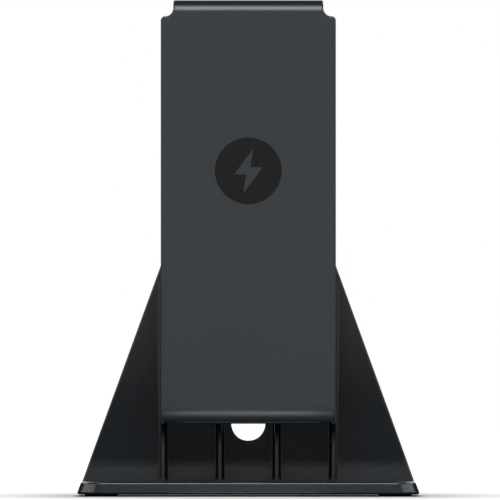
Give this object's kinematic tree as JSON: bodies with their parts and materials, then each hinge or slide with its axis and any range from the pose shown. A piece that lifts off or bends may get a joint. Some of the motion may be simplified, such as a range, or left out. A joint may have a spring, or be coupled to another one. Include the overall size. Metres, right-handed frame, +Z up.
{
  "type": "controller charging stand",
  "caption": "Upright charging block with side rails for slide-on game controllers, held by a one-piece stand with a leaning back plate, ribs and a lead slot.",
  "frame": {"origin": "on the table under the middle of the base, level with the underside of the rubber feet", "axes": "+Z up; the block's plain face looks along -Y; +X is the right-hand side as seen from the front"},
  "size_m": [0.0842, 0.05, 0.1223],
  "materials": {
    "cover_slate": "fine matt moulded plastic, dark slate grey",
    "stand_slate": "fine matt moulded plastic, a shade darker than the block",
    "emblem_black": "polished black inlay",
    "rail_black": "pressed steel with a satin black coat",
    "screw_steel": "plated steel",
    "foot_rubber": "matt rubber",
    "terminal_black": "moulded plastic, black",
    "contact_gold": "gold plated",
    "board_green": "lacquered glass-fibre laminate",
    "socket_steel": "drawn steel sleeve",
    "chip_black": "moulded epoxy",
    "inductor_grey": "pressed ferrite",
    "capacitor_tan": "fired ceramic",
    "flex_amber": "polyimide film"
  },
  "bodies": {
    "root": {"stand_frame": "stand_slate", "stand_screws": "screw_steel", "foot_front_left": "foot_rubber", "foot_front_right": "foot_rubber", "foot_rear_left": "foot_rubber", "foot_rear_right": "foot_rubber", "front_cover": "cover_slate", "charge_emblem": "emblem_black", "rear_housing": "cover_slate", "cover_screws": "screw_steel", "left_rail": "rail_black", "right_rail": "rail_black", "left_rail_screws": "screw_steel", "right_rail_screws": "screw_steel", "left_terminal": "terminal_black", "right_terminal": "terminal_black", "left_contacts": "contact_gold", "right_contacts": "contact_gold", "circuit_board": "board_green", "board_screws": "screw_steel", "usb_shell": "socket_steel", "usb_insulator": "terminal_black", "usb_contacts": "contact_gold", "charge_chips": "chip_black", "power_inductors": "inductor_grey", "board_capacitors": "capacitor_tan", "left_flex": "flex_amber", "right_flex": "flex_amber"}
  },
  "joints": []
}
